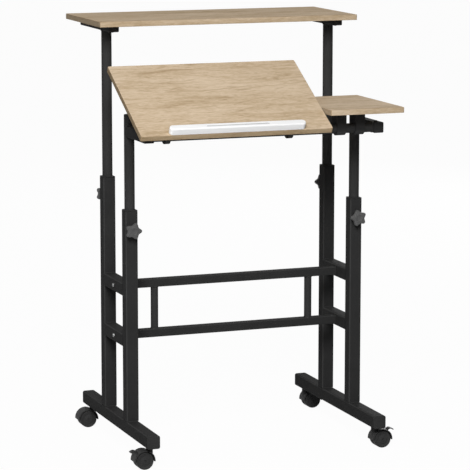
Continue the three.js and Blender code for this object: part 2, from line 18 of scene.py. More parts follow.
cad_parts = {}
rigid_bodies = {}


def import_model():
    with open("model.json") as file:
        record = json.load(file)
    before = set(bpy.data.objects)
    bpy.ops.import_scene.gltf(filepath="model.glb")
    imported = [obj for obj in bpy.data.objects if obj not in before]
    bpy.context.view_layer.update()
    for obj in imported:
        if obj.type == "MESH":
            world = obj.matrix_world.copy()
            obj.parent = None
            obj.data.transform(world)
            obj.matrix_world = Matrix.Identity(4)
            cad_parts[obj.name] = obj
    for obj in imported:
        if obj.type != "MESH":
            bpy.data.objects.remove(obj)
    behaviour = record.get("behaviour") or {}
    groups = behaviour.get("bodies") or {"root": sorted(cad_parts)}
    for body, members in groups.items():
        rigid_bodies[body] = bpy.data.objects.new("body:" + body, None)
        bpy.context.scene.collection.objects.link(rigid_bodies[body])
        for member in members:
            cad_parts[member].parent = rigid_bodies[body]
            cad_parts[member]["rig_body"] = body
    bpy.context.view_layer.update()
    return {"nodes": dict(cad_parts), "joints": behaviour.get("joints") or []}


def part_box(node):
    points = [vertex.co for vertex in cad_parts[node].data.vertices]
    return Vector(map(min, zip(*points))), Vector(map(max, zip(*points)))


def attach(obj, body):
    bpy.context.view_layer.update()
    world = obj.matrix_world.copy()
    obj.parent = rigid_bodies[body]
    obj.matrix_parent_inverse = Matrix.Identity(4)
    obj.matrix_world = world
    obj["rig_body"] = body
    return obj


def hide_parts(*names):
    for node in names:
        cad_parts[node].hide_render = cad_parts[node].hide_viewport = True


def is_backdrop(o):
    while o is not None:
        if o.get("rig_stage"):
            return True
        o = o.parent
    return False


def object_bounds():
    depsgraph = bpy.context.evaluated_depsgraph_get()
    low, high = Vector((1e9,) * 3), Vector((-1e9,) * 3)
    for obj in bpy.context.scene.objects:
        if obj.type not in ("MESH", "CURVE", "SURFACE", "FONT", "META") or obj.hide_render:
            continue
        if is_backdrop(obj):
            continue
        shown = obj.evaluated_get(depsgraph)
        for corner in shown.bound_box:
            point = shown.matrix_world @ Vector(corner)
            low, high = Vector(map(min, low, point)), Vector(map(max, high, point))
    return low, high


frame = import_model()

MM = 0.001
SIDES = (("left", -1), ("right", 1))
ENDS = (("front", -1), ("rear", 1))
LEVELS = ("lower", "upper")


# Helpers


def add_object(name, data):
    """New object of the scene that shows a mesh, curve, lamp or camera."""
    added = bpy.data.objects.new(name, data)
    bpy.context.scene.collection.objects.link(added)
    return added


def grey(level):
    return (level, level, level)


def smooth(piece):
    piece.data.polygons.foreach_set("use_smooth", [True] * len(piece.data.polygons))


# Places taken from the frame

JOINTS = {joint["name"]: joint for joint in frame["joints"]}


def joint_place(name):
    return Vector(JOINTS[name]["pos_m"])


def middle(node):
    """Centre of a CAD node's box."""
    low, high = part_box(node)
    return (low + high) / 2


def size(node):
    """Lengths of a CAD node's box."""
    low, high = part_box(node)
    return high - low


def corner(node, x, y, z):
    """A point of a CAD node's box: -1 is its low side, 0 its middle and 1 its high side."""
    half = size(node) / 2
    return middle(node) + Vector((x * half.x, y * half.y, z * half.z))


PIVOT = joint_place("board_tilt")
REST_TILT = -math.radians(JOINTS["board_tilt"]["range_deg"][0])  # the low limit lays the board flat
TILTED = Matrix.Translation(PIVOT) @ Matrix.Rotation(REST_TILT, 4, "X")
FLAT = TILTED.inverted()


def flat_box(node):
    """Corners of a tilting node's box about the pivot bar's axis, with the board laid flat."""
    points = [FLAT @ vertex.co for vertex in frame["nodes"][node].data.vertices]
    return Vector(map(min, zip(*points))), Vector(map(max, zip(*points)))


TUBE = size("foot_cap_front_left").x
TUBE_CORNER = 5 * MM


# Node materials


class Shader:
    """A node material around one Principled shader."""

    def __init__(self, name, roughness=0.5, specular=0.5, metallic=0.0):
        self.material = bpy.data.materials.new(name)
        self.material.use_nodes = True
        self.tree = self.material.node_tree
        self.tree.nodes.clear()
        self.output = self.node("ShaderNodeOutputMaterial")
        self.surface = self.node("ShaderNodeBsdfPrincipled")
        self.tree.links.new(self.surface.outputs["BSDF"], self.output.inputs["Surface"])
        self.surface.inputs["Roughness"].default_value = roughness
        self.surface.inputs["Specular IOR Level"].default_value = specular
        self.surface.inputs["Metallic"].default_value = metallic
        self.place = self.node("ShaderNodeTexCoord")

    def node(self, kind, **settings):
        node = self.tree.nodes.new(kind)
        for key, value in settings.items():
            setattr(node, key, value)
        return node

    def feed(self, socket, value):
        """Sets a socket to a number, vector or colour, or links an output to it."""
        if isinstance(value, bpy.types.NodeSocket):
            self.tree.links.new(value, socket)
        elif socket.type == "RGBA":
            socket.default_value = (*value, 1)
        else:
            socket.default_value = value

    def moved(self, vector, scale=(1, 1, 1), rotation=(0, 0, 0), offset=(0, 0, 0)):
        """A vector turned, scaled along each axis and shifted."""
        mapping = self.node("ShaderNodeMapping")
        self.feed(mapping.inputs["Vector"], vector)
        self.feed(mapping.inputs["Scale"], scale)
        self.feed(mapping.inputs["Rotation"], rotation)
        self.feed(mapping.inputs["Location"], offset)
        return mapping.outputs["Vector"]

    def noise(self, vector, scale=1.0, detail=2.0, roughness=0.5, distortion=0.0):
        noise = self.node("ShaderNodeTexNoise")
        self.feed(noise.inputs["Vector"], vector)
        self.feed(noise.inputs["Scale"], scale)
        self.feed(noise.inputs["Detail"], detail)
        self.feed(noise.inputs["Roughness"], roughness)
        self.feed(noise.inputs["Distortion"], distortion)
        return noise.outputs["Fac"]

    def ramp(self, value, stops):
        """Colour ramp through (position, colour) stops."""
        ramp = self.node("ShaderNodeValToRGB")
        elements = ramp.color_ramp.elements
        while len(elements) < len(stops):
            elements.new(0.5)
        for element, (position, colour) in zip(elements, stops):
            element.position = position
            element.color = (*colour, 1)
        self.feed(ramp.inputs["Fac"], value)
        return ramp.outputs["Color"]

    def span(self, value, low, high, source=(0.3, 0.7)):
        """Maps a value from the source range to low..high, held at the ends."""
        span = self.node("ShaderNodeMapRange")
        self.feed(span.inputs["Value"], value)
        self.feed(span.inputs["From Min"], source[0])
        self.feed(span.inputs["From Max"], source[1])
        self.feed(span.inputs["To Min"], low)
        self.feed(span.inputs["To Max"], high)
        return span.outputs["Result"]

    def math(self, operation, *values):
        node = self.node("ShaderNodeMath", operation=operation)
        for socket, value in zip(node.inputs, values):
            self.feed(socket, value)
        return node.outputs["Value"]

    def blend(self, *parts):
        """Sum of (value, weight) pairs."""
        total = self.math("MULTIPLY", *parts[0])
        for value, weight in parts[1:]:
            total = self.math("MULTIPLY_ADD", value, weight, total)
        return total

    def mix(self, factor, first, second, blend="MIX"):
        mix = self.node("ShaderNodeMix", data_type="RGBA", blend_type=blend)
        for index, value in ((0, factor), (6, first), (7, second)):
            self.feed(mix.inputs[index], value)
        return mix.outputs[2]

    def choose(self, factor, first, second):
        """The first vector where the factor is 0, the second where it is 1."""
        mix = self.node("ShaderNodeMix", data_type="VECTOR")
        for index, value in ((0, factor), (4, first), (5, second)):
            self.feed(mix.inputs[index], value)
        return mix.outputs[1]

    def directions(self, tilt=0.0):
        """Parts of the surface's direction along X, Y and Z, without their signs."""
        normal = self.node("ShaderNodeSeparateXYZ")
        direction = self.place.outputs["Normal"]
        if tilt:
            direction = self.moved(direction, rotation=(-tilt, 0, 0))
        self.feed(normal.inputs["Vector"], direction)
        return [self.math("ABSOLUTE", normal.outputs[axis]) for axis in "XYZ"]

    def steepest(self, along_x, along_y, along_z):
        """The largest of the three parts: 1 on flat sides, less on rounded edges."""
        return self.math("MAXIMUM", self.math("MAXIMUM", along_x, along_y), along_z)

    def colour(self, value):
        self.feed(self.surface.inputs["Base Color"], value)

    def roughness(self, value):
        self.feed(self.surface.inputs["Roughness"], value)

    def bump(self, height, distance, strength=1.0):
        bump = self.node("ShaderNodeBump")
        self.feed(bump.inputs["Strength"], strength)
        self.feed(bump.inputs["Distance"], distance)
        self.feed(bump.inputs["Height"], height)
        self.feed(self.surface.inputs["Normal"], bump.outputs["Normal"])


HIGHLIGHT_REACH = (0.86, 0.98)  # where a painted highlight lightens rounded arrises: the steepest part of the direction, from rounded to flat
CLOUD_SCALE = 14


def grained(name, dark, light, roughness, specular, grain, depth, arris_highlight=1.0):
    """Fine even grain of powder coat or moulded plastic; rounded arrises can get a painted
    highlight, a lighter tone.
    """
    shader = Shader(name, specular=specular)
    place = shader.place.outputs["Object"]
    fine = shader.noise(place, grain, detail=3, roughness=0.6)
    broad = shader.noise(place, CLOUD_SCALE)
    tone = shader.blend((fine, 0.5), (broad, 0.5))
    colour = shader.ramp(tone, ((0.3, dark), (0.7, light)))
    # Painted highlight: a lighter tone on rounded arrises stands in for the light an edge catches.
    if arris_highlight != 1.0:
        painted_highlight = shader.mix(1.0, colour, grey(arris_highlight), "MULTIPLY")
        steepest = shader.steepest(*shader.directions())
        colour = shader.mix(shader.span(steepest, 1.0, 0.0, HIGHLIGHT_REACH), colour, painted_highlight)
    shader.colour(colour)
    spread = shader.span(broad, roughness - 0.04, roughness + 0.05)
    shader.roughness(shader.math("ADD", spread, shader.span(fine, -0.03, 0.03)))
    shader.bump(fine, depth)
    return shader.material


OAK_BASE = (0.615, 0.480, 0.332)
EDGE_BASE = (0.53, 0.418, 0.292)
# End faces get a darker edging tone: painted shade.
END_PAINTED_SHADE = (0.38, 0.300, 0.210)
OAK_TONES = ((0.40, 0.78), (0.47, 0.94), (0.52, 1.04), (0.60, 1.15))
OAK_SMUDGE = 0.6
OAK_FLAME = 0.5
OAK_SPECULAR = 0.006
OAK_DARK = 0.60
OAK_PORE = 0.5
OAK_SEAM = 0.45
SEAM_REACH = (0.80, 0.97)
FACING = 0.7  # more than this part of a side's direction along an axis makes it face that way


def shade(colour, level):
    """A tone of the wood: the darker it is, the warmer."""
    return tuple(channel * level ** power for channel, power in zip(colour, (1.0, 1.2, 1.6)))


def oak(name, offset, edge_shade_level, tilt=0.0):
    """Light oak laminate with its grain along X, and edging whose grain runs along each edge; the
    edging is darkened per board and the end faces more, as painted shade.
    """
    shader = Shader(name, specular=OAK_SPECULAR)
    side, front, face = shader.directions(tilt)
    end = shader.math("GREATER_THAN", side, FACING)
    edging = shader.math("LESS_THAN", face, FACING)
    place = shader.place.outputs["Object"]
    grain = shader.choose(
        end, shader.moved(place, offset=offset),
        shader.moved(place, rotation=(0, 0, math.pi / 2), offset=offset))

    def streaks(lengthwise, across, detail=2.0, distortion=0.0, slant=0.0):
        """Noise drawn out along the grain, turned from it by a slant in degrees."""
        slanted = shader.moved(grain, rotation=(0, 0, math.radians(slant)))
        stretched = shader.moved(slanted, scale=(lengthwise, across, across))
        return shader.noise(stretched, detail=detail, distortion=distortion)

    clouds = streaks(3.0, 13)
    bands = streaks(4.5, 34, 3, 0.7)
    figure = streaks(11, 96, 3, 0.6, 3)
    flecks = streaks(60, 210, 2, 0.5)
    fibre = streaks(26, 560)
    smudges = streaks(8, 58, 3, 1.3, -6)
    flames = streaks(24, 150, 2, 0.9, 5)
    pores = streaks(70, 1300, 1)
    tone = shader.blend(
        (clouds, 0.24), (bands, 0.22), (figure, 0.20), (flecks, 0.20), (fibre, 0.14))

    def toned(base, level):
        return shader.ramp(tone, tuple((at, shade(base, share * level)) for at, share in OAK_TONES))

    board = toned(OAK_BASE, 1.0)
    # Painted shade: the edging is darkened by the board's level, and the end faces darker still.
    edge = shader.mix(end, toned(EDGE_BASE, edge_shade_level), toned(END_PAINTED_SHADE, edge_shade_level))
    for streak, share, reach in (
            (smudges, OAK_SMUDGE, (0.56, 0.70)),
            (flames, OAK_FLAME, (0.58, 0.72))):
        board = shader.mix(shader.span(streak, 0.0, share, reach), board, shade(OAK_BASE, OAK_DARK))
    colour = shader.mix(edging, board, edge)
    pore = shader.span(pores, 0.0, 0.32, (0.60, 0.74))
    colour = shader.mix(pore, colour, shade(OAK_BASE, OAK_PORE))
    seam = shader.span(shader.steepest(side, front, face), 0.5, 0.0, SEAM_REACH)
    shader.colour(shader.mix(seam, colour, shade(OAK_BASE, OAK_SEAM)))
    shader.roughness(shader.span(figure, 0.62, 0.74))
    shader.bump(shader.blend((fibre, 1.0), (pore, -1.2)), 0.06 * MM, 0.7)
    return shader.material


def zinc():
    """Dull zinc-plated steel with faint turning marks."""
    shader = Shader("zinc_steel", metallic=1.0)
    place = shader.place.outputs["Object"]
    cloud = shader.noise(place, 260, detail=3)
    shader.colour(shader.ramp(cloud, ((0.3, grey(0.20)), (0.7, grey(0.30)))))
    shader.roughness(shader.span(cloud, 0.24, 0.38))
    shader.bump(shader.noise(place, 2400), 0.01 * MM)
    return shader.material


# The last number of coated steel and black plastic lightens their rounded arrises as a painted
# highlight.
STEEL = grained("coated_steel", grey(0.0262), grey(0.0342), 0.48, 0.003, 1100, 0.035 * MM, 1.55)
# Round steel is the same coat in a lighter tone: a painted sheen for the highlight round tubes
# catch.
ROUND_SHEEN = grained("round_steel_painted_sheen", grey(0.033), grey(0.043), 0.42, 0.004, 1100, 0.03 * MM)
PLASTIC = grained("black_plastic", grey(0.029), grey(0.040), 0.52, 0.006, 1900, 0.03 * MM, 1.2)
KNOB = grained("knob_plastic", grey(0.074), grey(0.102), 0.44, 0.10, 1900, 0.03 * MM)
HOOD = grained("caster_plastic", grey(0.028), grey(0.038), 0.42, 0.05, 1500, 0.03 * MM)
WHEEL = grained("wheel_plastic", grey(0.032), grey(0.043), 0.48, 0.03, 1300, 0.04 * MM)
WHITE = grained("white_plastic", grey(0.86), grey(0.90), 0.34, 0.4, 1500, 0.02 * MM)
# The grey strip on the stop's slot floor is painted shade for the shallow slot.
SLOT_SHADE_GREY = grained("slot_painted_shade", grey(0.42), grey(0.50), 0.55, 0.2, 1500, 0.02 * MM)
# The third number scales each board's edging tone as painted shade; the tilted board's edging is
# darkest.
OAKS = {
    "shelf": oak("oak_shelf", (0.0, 0.0, 0.0), 0.95),
    "tilt_board": oak("oak_board", (1.7, 0.33, 0.9), 0.74, REST_TILT),
    "tray": oak("oak_tray", (3.1, 0.71, 1.9), 1.0),
}
ZINC = zinc()


# CAD nodes: softened edges and finishes


def bevel(piece, width, angle=50):
    """Rounds a piece's edges sharper than an angle in degrees and shades the rest smooth."""
    smooth(piece)
    rounding = piece.modifiers.new("bevel", "BEVEL")
    rounding.width = width
    rounding.segments = 2
    rounding.limit_method = "ANGLE"
    rounding.angle_limit = math.radians(angle)
    rounding.use_clamp_overlap = True
    normals = piece.modifiers.new("normals", "WEIGHTED_NORMAL")
    normals.weight = 100
    normals.keep_sharp = True


def soften(piece, width):
    """Joins the split faces of a CAD node and rounds its sharp edges."""
    weld = piece.modifiers.new("weld", "WELD")
    weld.merge_threshold = 0.002 * MM
    flat = piece.modifiers.new("flat", "DECIMATE")
    flat.decimate_type = "DISSOLVE"
    flat.angle_limit = math.radians(1)
    bevel(piece, width)


def finish_of(node):
    """Material and material slot of a CAD node."""
    if node in OAKS:
        return OAKS[node], "oak_board"
    for start, finish in (
            ("foot_cap", (PLASTIC, "black_plastic")),
            ("collar", (PLASTIC, "black_plastic")),
            ("upright_cap", (PLASTIC, "black_plastic")),
            ("knob", (KNOB, "knob_plastic")),
            ("caster_hood", (HOOD, "caster_plastic")),
            ("brake_lever", (HOOD, "caster_plastic")),
            ("wheel", (WHEEL, "wheel_plastic")),
            ("upright", (ROUND_SHEEN, "coated_steel")),
            ("strut", (ROUND_SHEEN, "coated_steel")),
            ("pivot_bar", (ROUND_SHEEN, "coated_steel")),
            ("edge_stop", (WHITE, "white_plastic"))):
        if node.startswith(start):
            return finish
    return STEEL, "coated_steel"


def dress(piece, node):
    """Gives a piece a CAD node's material."""
    material, slot = finish_of(node)
    piece.data.materials.clear()
    piece.data.materials.append(material)


EDGE_ROUND = 0.4 * MM
for node, piece in frame["nodes"].items():
    dress(piece, node)
    soften(piece, EDGE_ROUND)


# Meshes through rings of points


def skin(name, rings, loop=False):
    """Closed surface through rings of as many points each; a ring of one point is a pole."""
    mesh = bpy.data.meshes.new(name)
    surface = bmesh.new()
    rows = [[surface.verts.new(point) for point in ring] for ring in rings]
    pairs = list(zip(rows, rows[1:]))
    if loop:
        pairs.append((rows[-1], rows[0]))
    for one, other in pairs:
        count = max(len(one), len(other))
        for i in range(count):
            j = (i + 1) % count
            square = [one[i % len(one)], one[j % len(one)],
                      other[j % len(other)], other[i % len(other)]]
            surface.faces.new(dict.fromkeys(square))  # without the repeats beside a pole
    if not loop:
        for row in (rows[0], rows[-1]):
            if len(row) > 1:
                surface.faces.new(row)
    bmesh.ops.recalc_face_normals(surface, faces=surface.faces)
    surface.to_mesh(mesh)
    surface.free()
    return add_object(name, mesh)


def ring(outline, height, count=64):
    """Ring of points about the Z axis; the outline is a radius, or a function of the angle."""
    if outline == 0:
        return [Vector((0, 0, height))]
    points = []
    for i in range(count):
        angle = 2 * math.pi * i / count
        radius = outline(angle) if callable(outline) else outline
        points.append(Vector((radius * math.sin(angle), radius * math.cos(angle), height)))
    return points


def placed(piece, matrix, body):
    """Moves a new mesh's points into place and lets it ride on a body."""
    piece.data.transform(matrix)
    piece.data.update()
    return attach(piece, body)


def stand_in(piece, matrix, node):
    """Puts a finer mesh in the place of a CAD node, with its finish."""
    dress(piece, node)
    placed(piece, matrix, frame["nodes"][node]["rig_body"])
    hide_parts(node)


def facing(place, direction):
    """Matrix that takes the Z axis to a direction at a place."""
    return Matrix.Translation(place) @ Vector(direction).to_track_quat("Z", "Y").to_matrix().to_4x4()


# Round tubes and the caps of the front uprights

TUBE_WALL = 1.5 * MM
LIP = 0.3 * MM


def round_tube(name, radius, length):
    """Open tube along Z, centred on its length."""
    half = length / 2
    inner = radius - TUBE_WALL
    profile = ((inner, -half), (radius, -half), (radius, half), (inner, half))
    piece = skin(name, [ring(*point) for point in profile], loop=True)
    bevel(piece, LIP)
    return piece


def swap_round_tube(node, direction):
    """Puts a finer tube in the place of a CAD tube that runs along a direction."""
    long_side = max(size(node))
    radius = min(size(node)) / 2
    stand_in(round_tube(node + "_round", radius, long_side), facing(middle(node), direction), node)


for side, _ in SIDES:
    for end, _ in ENDS:
        swap_round_tube(f"upright_{end}_{side}", (0, 0, 1))
    swap_round_tube(f"strut_{side}", (0, 0, 1))
swap_round_tube("pivot_bar", (1, 0, 0))


CAP_GAP = 0.3 * MM
CAP_SHOULDER = 4 * MM
CAP_STEPS = 5


def upright_cap(node):
    """Domed plastic plug on a front upright's open top."""
    low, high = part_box(node)
    radius = size(node).x / 2
    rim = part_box(node.replace("cap", "front"))[1].z - middle(node).z + CAP_GAP
    top = (high.z - low.z) / 2
    plug = radius - TUBE_WALL - CAP_GAP
    rings = [ring(0, -top), ring(plug, -top), ring(plug, rim), ring(radius, rim)]
    for i in range(1, CAP_STEPS + 1):
        turn = math.pi / 2 * i / CAP_STEPS
        inset = CAP_SHOULDER * (1 - math.cos(turn))
        rings.append(ring(radius - inset, rim + (top - rim) * math.sin(turn)))
    rings.append(ring(0, top))
    piece = skin(node + "_round", rings)
    bevel(piece, LIP)
    stand_in(piece, Matrix.Translation(middle(node)), node)


for side, _ in SIDES:
    upright_cap(f"upright_cap_{side}")


# Wheels

WHEEL_RADIUS = 25.4
WHEEL_PROFILE = (  # radius and height over the inner face, in mm
    (3.3, 0.0), (24.7, 0.0), (25.3, 0.3), (25.4, 0.9), (25.4, 6.0), (25.4, 12.2), (25.3, 14.0),
    (25.0, 15.6), (24.5, 16.8), (23.9, 17.4), (23.2, 17.5), (22.0, 17.5), (21.5, 17.3),
    (21.1, 16.8), (20.4, 16.6), (15.6, 16.7), (15.3, 16.4), (14.7, 16.4), (14.4, 16.7),
    (9.0, 16.8), (8.2, 16.9),
    (7.5, 17.3), (6.8, 17.5), (4.1, 17.5), (3.5, 17.3), (3.3, 16.9))


def wheel(node, hood):
    """One wheel of a pair, its inner face towards the middle of the hood."""
    axle = joint_place(node + "_spin")
    outwards = 1 if middle(node).y > middle(hood).y else -1
    inner = corner(node, 0, -outwards, 0).y
    scale = size(node).z / 2 / WHEEL_RADIUS
    rings = [ring(radius * scale, height * MM) for radius, height in WHEEL_PROFILE]
    piece = skin(node + "_fine", rings, loop=True)
    smooth(piece)
    stand_in(piece, facing(Vector((axle.x, inner, axle.z)), (0, outwards, 0)), node)


for side, _ in SIDES:
    for end, _ in ENDS:
        for number in (1, 2):
            wheel(f"wheel_{end}_{side}_{number}", f"caster_hood_{end}_{side}")


# Star knobs

KNOB_TURNS = {  # degrees from one lobe straight up
    ("front", "left"): -18, ("front", "right"): 14,
    ("rear", "left"): -18, ("rear", "right"): 18}
KNOB_TIP = 24.0
KNOB_VALLEY = 17.4
KNOB_LOBES = 5
STUD_LOW = -3.7
STUD_HIGH = 3.8
KNOB_LOW = 12.8
KNOB_HIGH = 24.8
KNOB_ROUND = 3.2
KNOB_STEPS = 6
KNOB_POINTS = 120
KNOB_CROWN = 0.7
KNOB_UNDERCUT = 0.6
LOBE_SHARPNESS = 1.25
KNOB_STEM = (  # radius and height from the leg's face, in mm
    (0, STUD_LOW), (3.6, STUD_LOW), (4, STUD_LOW + 0.5), (4, STUD_HIGH), (8.1, STUD_HIGH),
    (8.6, STUD_HIGH + 0.5), (10.4, KNOB_LOW - 1.6), (11.4, KNOB_LOW - 0.5), (13.0, KNOB_LOW))
KNOB_DISH = (
    (9.4, KNOB_HIGH), (8.8, KNOB_HIGH - 0.2), (8.4, KNOB_HIGH - 0.9), (7.8, KNOB_HIGH - 1.3),
    (0, KNOB_HIGH - 1.5))


def lobes(inset, share=1.0):
    """Outline of the knob's head: a circle where the share is 0, full lobes where it is 1."""
    def radius(angle):
        swell = ((1 + math.cos(KNOB_LOBES * angle)) / 2) ** LOBE_SHARPNESS
        full = KNOB_VALLEY + (KNOB_TIP - KNOB_VALLEY) * swell
        return (KNOB_VALLEY + (full - KNOB_VALLEY) * share - inset) * MM
    return radius


def knob(end, side, way):
    """Five-lobed head on a hub and a stud, turned out of the leg's face."""
    node = f"knob_{end}_{side}"
    under = KNOB_ROUND * KNOB_UNDERCUT
    stations = [(radius * MM, height) for radius, height in KNOB_STEM]
    for i in range(KNOB_STEPS + 1):
        turn = math.pi / 2 * i / KNOB_STEPS
        inset = under * (1 - math.sin(turn))
        stations.append((lobes(inset), KNOB_LOW + under * (1 - math.cos(turn))))
    for i in range(KNOB_STEPS + 1):
        turn = math.pi / 2 * i / KNOB_STEPS
        inset = KNOB_ROUND * (1 - math.cos(turn))
        rise = (KNOB_ROUND - KNOB_CROWN) * math.sin(turn)
        stations.append((lobes(inset), KNOB_HIGH - KNOB_ROUND + rise))
    stations += [(lobes(6.0, 0.6), KNOB_HIGH - 0.35), (lobes(7.5, 0.2), KNOB_HIGH - 0.1)]
    stations += [(radius * MM, height) for radius, height in KNOB_DISH]
    rings = [ring(outline, height * MM, KNOB_POINTS) for outline, height in stations]
    piece = skin(node + "_fine", rings)
    smooth(piece)
    place = joint_place(node + "_turn")
    turned = Matrix.Rotation(math.radians(KNOB_TURNS[end, side]), 4, "Z")
    upright = Matrix.Rotation(-way * math.pi / 2, 4, "X")
    stand_in(piece, Matrix.Translation(place) @ upright @ turned, node)


for end, way in ENDS:
    for side, _ in SIDES:
        knob(end, side, way)


# Edge stop

STOP_ROUND = 4.0 * MM
STOP_ARRIS = 0.6 * MM
STOP_STEPS = 5
SLOT_INSET = 108 * MM
SLOT_WIDTH = 6 * MM
SLOT_DEPTH = 2 * MM
SLOT_LIP = 0.5 * MM
STRIP_THICKNESS = 0.6 * MM
STADIUM_STEPS = 12


def stadium(length, width, height):
    """Ring of points: two half circles joined by straight sides."""
    radius = width / 2
    points = []
    for way in (1, -1):
        for i in range(STADIUM_STEPS + 1):
            angle = math.pi * (i / STADIUM_STEPS - 0.5)
            reach = length / 2 - radius + radius * math.cos(angle)
            points.append(Vector((way * reach, way * radius * math.sin(angle), height)))
    return points


def edge_stop():
    """White bar with round ends and a shallow slot along its top."""
    low, high = flat_box("edge_stop")
    length, width, height = high - low
    rings = [
        stadium(length - 2 * STOP_ARRIS, width - 2 * STOP_ARRIS, 0),
        stadium(length, width, STOP_ARRIS)]
    for i in range(STOP_STEPS + 1):
        turn = math.pi / 2 * i / STOP_STEPS
        inset = STOP_ROUND * (1 - math.cos(turn))
        rise = STOP_ROUND * (1 - math.sin(turn))
        rings.append(stadium(length - 2 * inset, width - 2 * inset, height - rise))
    slot_length = length - 2 * SLOT_INSET
    for lip, depth in (
            (SLOT_LIP, 0), (0, SLOT_LIP), (0, SLOT_DEPTH - SLOT_LIP), (-SLOT_LIP, SLOT_DEPTH)):
        rings.append(stadium(slot_length + 2 * lip, SLOT_WIDTH + 2 * lip, height - depth))
    piece = skin("edge_stop_fine", rings)
    bevel(piece, LIP)
    centre = Vector(((low.x + high.x) / 2, (low.y + high.y) / 2, low.z))
    stand_in(piece, TILTED @ Matrix.Translation(centre), "edge_stop")


edge_stop()


def slot_shade_strip():
    """Grey strip along the floor of the stop's slot: painted shade that darkens the slot."""
    low, high = flat_box("edge_stop")
    length = high.x - low.x - 2 * (SLOT_INSET + SLOT_LIP + LIP)
    width = SLOT_WIDTH - 2 * (SLOT_LIP + LIP)
    piece = skin("slot_shade_strip", [stadium(length, width, 0), stadium(length, width, STRIP_THICKNESS)])
    piece.data.materials.append(SLOT_SHADE_GREY)
    floor_of_slot = Vector(((low.x + high.x) / 2, (low.y + high.y) / 2, high.z - SLOT_DEPTH))
    placed(piece, TILTED @ Matrix.Translation(floor_of_slot), "tilt_board")


slot_shade_strip()


# Bolts and screws


HEAD_POINTS = 48
HEAD_STEPS = 5
HEAD_RIM = 0.12  # share of the height where the dome starts
HEAD_ARRIS = 0.15 * MM
HEAD_ANGLE = 35


def hexagon(across):
    """Outline of a hexagonal socket, from its width across the flats."""
    def radius(angle):
        from_flat = (angle % (math.pi / 3)) - math.pi / 6
        return across / 2 / math.cos(from_flat)
    return radius


def fastener_rings(radius, height, drive):
    """Button head on its seat at Z 0, with a hexagonal socket."""
    stations = [(0, 0), (radius * 0.96, 0), (radius, height * HEAD_RIM)]
    for i in range(1, HEAD_STEPS + 1):
        turn = math.pi / 2 * i / HEAD_STEPS
        stations.append((
            radius - (radius - drive * 0.72) * (1 - math.cos(turn)),
            height * (HEAD_RIM + (1 - HEAD_RIM) * math.sin(turn))))
    stations += [
        (hexagon(drive * 1.06), height), (hexagon(drive), height * 0.93),
        (hexagon(drive), height * 0.35), (0, height * 0.28)]
    return [ring(outline, level, HEAD_POINTS) for outline, level in stations]


def fasteners(name, body, material, heads):
    """One piece of several heads; each is (radius, height, socket width, matrix)."""
    whole = bmesh.new()
    for radius, height, drive, matrix in heads:
        head = skin("head", fastener_rings(radius, height, drive))
        shape = head.data
        shape.transform(matrix)
        whole.from_mesh(shape)
        bpy.data.objects.remove(head)
        bpy.data.meshes.remove(shape)
    mesh = bpy.data.meshes.new(name)
    whole.to_mesh(mesh)
    whole.free()
    piece = add_object(name, mesh)
    piece.data.materials.append(material)
    bevel(piece, HEAD_ARRIS, HEAD_ANGLE)
    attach(piece, body)


BOLT = (5.6 * MM, 3.2 * MM, 4.0 * MM)  # radius, height and socket width
SCREW = (4.2 * MM, 2.4 * MM, 2.5 * MM)
SCREW_INSET = 16 * MM
CLAMP_SCREW_INSET = 7 * MM
FLANGE = 3 * MM
FLANGE_SHARE = 1 / 3
FLANGE_LENGTH = 32 * MM
ARM_BOLT_SETBACK = 5 * MM

rail_bolts = []
for side, sign in SIDES:
    for level in LEVELS:
        face = corner(f"side_rail_{level}_{side}", sign, 0, 0)
        place = Vector((face.x, middle(f"cross_bar_{level}").y, face.z))
        rail_bolts.append((*BOLT, facing(place, (sign, 0, 0))))
fasteners("rail_bolts", "base_frame", ZINC, rail_bolts)

arm_bolts = []
for side, _ in SIDES:
    top = corner(f"arm_{side}", 0, 0, 1)
    place = Vector((top.x, PIVOT.y + ARM_BOLT_SETBACK, top.z))
    arm_bolts.append((*BOLT, facing(place, (0, 0, 1))))
fasteners("arm_bolts", "desk_lift", STEEL, arm_bolts)

shelf_screws = []
for side, _ in SIDES:
    for end, way in ENDS:
        place = corner(f"shelf_bracket_{side}", 0, way, -1) - Vector((0, way * SCREW_INSET, 0))
        shelf_screws.append((*SCREW, facing(place, (0, 0, -1))))
fasteners("shelf_screws", "shelf_lift", ZINC, shelf_screws)

tray_screws = []
for part in ("inner", "outer"):
    rear = corner(f"tray_bracket_{part}", 0, 1, 1)
    place = rear - Vector((0, FLANGE_LENGTH * FLANGE_SHARE, FLANGE))
    tray_screws.append((*SCREW, facing(place, (0, 0, -1))))
fasteners("tray_screws", "desk_lift", ZINC, tray_screws)

clamp_screws = []
for part in ("outer", "inner"):
    low, high = flat_box(f"hinge_clamp_{part}")
    for y in (low.y + CLAMP_SCREW_INSET, high.y - CLAMP_SCREW_INSET):
        place = Vector(((low.x + high.x) / 2, y, high.z - FLANGE))
        clamp_screws.append((*SCREW, TILTED @ facing(place, (0, 0, -1))))
fasteners("clamp_screws", "tilt_board", ZINC, clamp_screws)


# Weld beads

BEAD = 1.7 * MM
BEAD_STEP = 2.4 * MM
BEAD_RIPPLE = 0.14
CIRCLE_POINTS = 24
COPE_STOP = 4 * MM
COPE_STEPS = 8


def bead(path, closed):
    """Points along a path at the ripple's step."""
    corners = list(path) + ([path[0]] if closed else [])
    points = []
    for start, stop in zip(corners, corners[1:]):
        steps = max(1, round((stop - start).length / BEAD_STEP))
        points += [start.lerp(stop, i / steps) for i in range(steps)]
    return points if closed else points + [corners[-1]]


